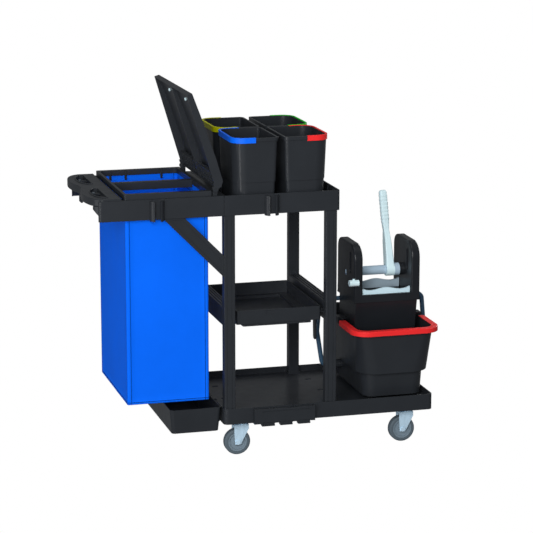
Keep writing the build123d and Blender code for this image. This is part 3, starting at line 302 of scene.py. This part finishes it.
def dress_nodes():
    """Every carried-over CAD node gets the material of its slot, or its own."""
    for row in frame["record"]["subparts"]:
        node = frame["nodes"].get(row["node"])
        if node is None:
            continue
        material = SPECIAL.get(row["node"], MATERIALS[row["material_slot"]])
        slots = node.data.materials
        for index in range(len(slots)):
            slots[index] = material
        if not len(slots):
            slots.append(material)


# ---------------------------------------------------------------- mesh helpers
def bridge(shell, low, high):
    """Quads between two rings of equally many vertices, in the rings' order."""
    count = len(low)
    quads = []
    for k in range(count):
        after = (k + 1) % count
        quads.append(shell.faces.new((low[k], low[after], high[after], high[k])))
    return quads


def finish_mesh(name, shell, materials):
    """Object made from a bmesh: outward faces, smooth but for its flat end caps."""
    bmesh.ops.recalc_face_normals(shell, faces=shell.faces)
    mesh = bpy.data.meshes.new(name)
    shell.to_mesh(mesh)
    shell.free()
    for material in materials:
        mesh.materials.append(material)
    for polygon in mesh.polygons:
        polygon.use_smooth = len(polygon.vertices) <= 4
    return link_object(name, mesh)


# ---------------------------------------------------------------- bag
BAG_WALL_X, BAG_WALL_Y = (-0.5690, -0.2610), (-0.2470, 0.2470)
BAG_BOTTOM, BAG_TOP = 0.2335, 1.0040
BAG_CORNER, BAG_THICK = 0.006, 0.0012
CORNER_TURNS = (math.radians(30), math.radians(60))
BINDING, BINDING_LINE, BINDING_RISE = 0.0088, 0.0022, 0.0009
HEM, HEM_LINE = 0.030, 0.002
BILLOW, BILLOW_SHARE = 0.0030, 0.8
WRINKLE, WRINKLE_PLAN, WRINKLE_UP = 0.0008, 7, 5
SHORT_STEPS, LONG_STEPS, UP_STEPS = 14, 22, 26
FLOOR_SHARES, FLOOR_SAG = (0.97, 0.8, 0.6, 0.4, 0.2), 0.0006
NEAR = 1e-6


def side_marks(length, count):
    """Places along one side: bindings with their seam line at both ends, even steps between."""
    start, end = BINDING, length - BINDING
    inner = [start + (end - start) * k / count for k in range(1, count)]
    return [0.0, BINDING - BINDING_LINE, start] + inner + [end, end + BINDING_LINE, length]


def bag_outline():
    """Plan of the bag: (x, y, outward x, outward y, share along its side, distance from its side's end)."""
    (x0, x1), (y0, y1), r = BAG_WALL_X, BAG_WALL_Y, BAG_CORNER
    width, depth = x1 - x0 - 2 * r, y1 - y0 - 2 * r
    # start, direction, outward direction, length and steps of the four sides
    sides = [((x0 + r, y0), (1, 0), (0, -1), width, SHORT_STEPS),
             ((x1, y0 + r), (0, 1), (1, 0), depth, LONG_STEPS),
             ((x1 - r, y1), (-1, 0), (0, 1), width, SHORT_STEPS),
             ((x0, y1 - r), (0, -1), (-1, 0), depth, LONG_STEPS)]
    points = []
    for (px, py), (dx, dy), (nx, ny), length, steps in sides:
        for mark in side_marks(length, steps):
            points.append((px + dx * mark, py + dy * mark, nx, ny, mark / length, min(mark, length - mark)))
        cx, cy = px + dx * length - nx * r, py + dy * length - ny * r
        for turn in CORNER_TURNS:
            ox = nx * math.cos(turn) + dx * math.sin(turn)
            oy = ny * math.cos(turn) + dy * math.sin(turn)
            points.append((cx + ox * r, cy + oy * r, ox, oy, 1.0, 0.0))
    return points


def bag_point(row, z):
    """One vertex of the bag's wall, with its slight billow, wrinkles and edge bindings."""
    x, y, nx, ny, share, edge = row
    up = (z - BAG_BOTTOM) / (BAG_TOP - BAG_BOTTOM)
    across = math.sin(math.pi * share)
    out = 0.0
    if up < BILLOW_SHARE:
        out += BILLOW * across * math.sin(math.pi * up / BILLOW_SHARE) ** 2
    out += noise.noise(Vector((x * WRINKLE_PLAN, y * WRINKLE_PLAN, z * WRINKLE_UP))) * WRINKLE * across
    if edge <= BINDING - BINDING_LINE + NEAR or z < BAG_BOTTOM + BINDING - NEAR:
        out += BINDING_RISE
    return x + nx * out, y + ny * out, z


def is_seam(a, b):
    """Whether a face spans the line beside a binding; a, b: how far its ends are from the side's end."""
    return abs(max(a, b) - BINDING) < NEAR and abs(min(a, b) - (BINDING - BINDING_LINE)) < NEAR


def bag_walls(shell, outline):
    """Walls of the bag with darker seam lines; returns the lowest ring of vertices."""
    wall_top = BAG_TOP - HEM
    levels = [BAG_BOTTOM, BAG_BOTTOM + BINDING - BINDING_LINE, BAG_BOTTOM + BINDING]
    low_seam, high_seam = 1, UP_STEPS + 2
    levels += [levels[-1] + (wall_top - levels[-1]) * k / UP_STEPS for k in range(1, UP_STEPS + 1)]
    levels += [wall_top + HEM_LINE, BAG_TOP]
    rings = [[shell.verts.new(bag_point(row, z)) for row in outline] for z in levels]
    count = len(outline)
    for step, (low, high) in enumerate(zip(rings, rings[1:])):
        for k, face in enumerate(bridge(shell, low, high)):
            upright = is_seam(outline[k][5], outline[(k + 1) % count][5])
            face.material_index = 1 if upright or step in (low_seam, high_seam) else 0
    return rings[0]


def bag_floor(shell, outline, outer):
    """Floor of the bag inside its lowest ring of vertices."""
    mid_x, mid_y = sum(BAG_WALL_X) / 2, sum(BAG_WALL_Y) / 2
    for share in FLOOR_SHARES:
        z = BAG_BOTTOM + FLOOR_SAG * (1 - share)
        ring = []
        for row in outline:
            x, y = mid_x + (row[0] - mid_x) * share, mid_y + (row[1] - mid_y) * share
            ring.append(shell.verts.new((x, y, z)))
        bridge(shell, ring, outer)
        outer = ring
    middle = shell.verts.new((mid_x, mid_y, BAG_BOTTOM + FLOOR_SAG))
    for k in range(len(outer)):
        shell.faces.new((middle, outer[(k + 1) % len(outer)], outer[k]))


def add_bag():
    """The refuse bag: one sewn shell with bound edges, open at its top."""
    outline = bag_outline()
    shell = bmesh.new()
    bag_floor(shell, outline, bag_walls(shell, outline))
    bag = finish_mesh("refuse_bag", shell, [MATERIALS["bag_cloth"], SEAM_BLUE])
    thick = bag.modifiers.new("thickness", "SOLIDIFY")
    thick.thickness = BAG_THICK
    thick.offset = -1.0
    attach(bag, "cart")
    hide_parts("waste_bag")


# ---------------------------------------------------------------- lever grip
LEVER_FOOT, LEVER_LEAN = Vector((0.511, -0.035, 0.639)), math.radians(18.0)
GRIP_HALF_WIDTH, GRIP_HALF_DEPTH, GRIP_CORNER = 0.0150, 0.0120, 0.009
GRIP_CORNER_STEPS = 5
RIDGE_LOW, RIDGE_MID, RIDGE_RISE = -0.0005, 0.0004, 0.0009
RIDGE_HEIGHT, RIDGE_STEP, RIDGE_START, RIDGES = 0.0110, 0.0148, 0.192, 7
# share of one ridge's height, rise above the grip
RIDGE_PROFILE = [(0.0, RIDGE_LOW), (0.10, RIDGE_MID), (0.30, RIDGE_RISE),
                 (0.70, RIDGE_RISE), (0.90, RIDGE_MID), (1.0, RIDGE_LOW)]


def rounded_ring(half_x, half_y, radius):
    """Plan points of a rounded rectangle around the origin."""
    points = []
    for sx, sy, start in ((1, 1, 0), (-1, 1, 90), (-1, -1, 180), (1, -1, 270)):
        for k in range(GRIP_CORNER_STEPS + 1):
            turn = math.radians(start + 90 * k / GRIP_CORNER_STEPS)
            points.append((sx * (half_x - radius) + radius * math.cos(turn),
                           sy * (half_y - radius) + radius * math.sin(turn)))
    return points


def add_grip_ridges():
    """Raised ridges round the lever's grip, each a swelling band with soft shoulders."""
    shell = bmesh.new()
    place = Matrix.Translation(LEVER_FOOT) @ Matrix.Rotation(-LEVER_LEAN, 4, "X")
    for index in range(RIDGES):
        rings = []
        for share, rise in RIDGE_PROFILE:
            z = RIDGE_START + index * RIDGE_STEP + share * RIDGE_HEIGHT
            outline = rounded_ring(GRIP_HALF_WIDTH + rise, GRIP_HALF_DEPTH + rise, GRIP_CORNER + rise)
            rings.append([shell.verts.new(place @ Vector((x, y, z))) for x, y in outline])
        for low, high in zip(rings, rings[1:]):
            bridge(shell, low, high)
        shell.faces.new(list(reversed(rings[0])))
        shell.faces.new(rings[-1])
    ridges = finish_mesh("lever_grip_ridges", shell, [GRIP_WHITE])
    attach(ridges, "lever")


add_camera()
add_world()
add_stage()
for light_row in LIGHTS:
    add_light(*light_row)
dress_nodes()
add_bag()
add_grip_ridges()
bpy.context.scene.view_settings.view_transform = "Standard"
